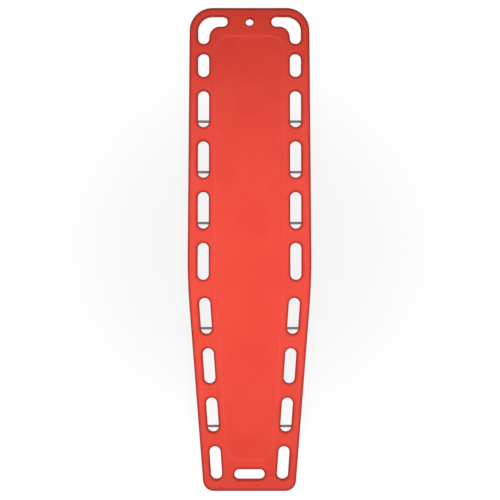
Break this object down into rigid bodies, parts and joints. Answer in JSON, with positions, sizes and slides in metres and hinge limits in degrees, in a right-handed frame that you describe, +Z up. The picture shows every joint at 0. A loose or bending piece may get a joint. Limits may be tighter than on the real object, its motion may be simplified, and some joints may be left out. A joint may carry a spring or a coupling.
{
  "type": "spine board",
  "caption": "Long moulded rescue backboard with handholds through it all round, strap pins across some of them, a hanging hole at the head end and runners underneath.",
  "frame": {"origin": "centre of the board's outline in plan, at the level of the runners' soles, which is the ground", "axes": "+Y towards the head end, +Z up out of the face the patient lies on, +X across, to the right seen from above with the head end up"},
  "size_m": [0.4692, 1.83, 0.05],
  "materials": {
    "shell_polyethylene": "rotomoulded high-density polyethylene, finely textured",
    "plug_polyethylene": "spin-welded polyethylene plug",
    "pin_stainless": "drawn stainless steel bar",
    "glass_fibre_rod": "pultruded glass fibre",
    "polyurethane_foam": "rigid polyurethane foam"
  },
  "bodies": {
    "root": {"board_shell": "shell_polyethylene", "foam_core": "polyurethane_foam", "stiffener_rod_left": "glass_fibre_rod", "stiffener_rod_right": "glass_fibre_rod", "strap_pin_left_1": "pin_stainless", "strap_pin_left_2": "pin_stainless", "strap_pin_left_3": "pin_stainless", "strap_pin_left_4": "pin_stainless", "strap_pin_left_5": "pin_stainless", "strap_pin_right_1": "pin_stainless", "strap_pin_right_2": "pin_stainless", "strap_pin_right_3": "pin_stainless", "strap_pin_right_4": "pin_stainless", "strap_pin_right_5": "pin_stainless", "fill_plug_head": "plug_polyethylene", "fill_plug_foot": "plug_polyethylene"}
  },
  "joints": []
}
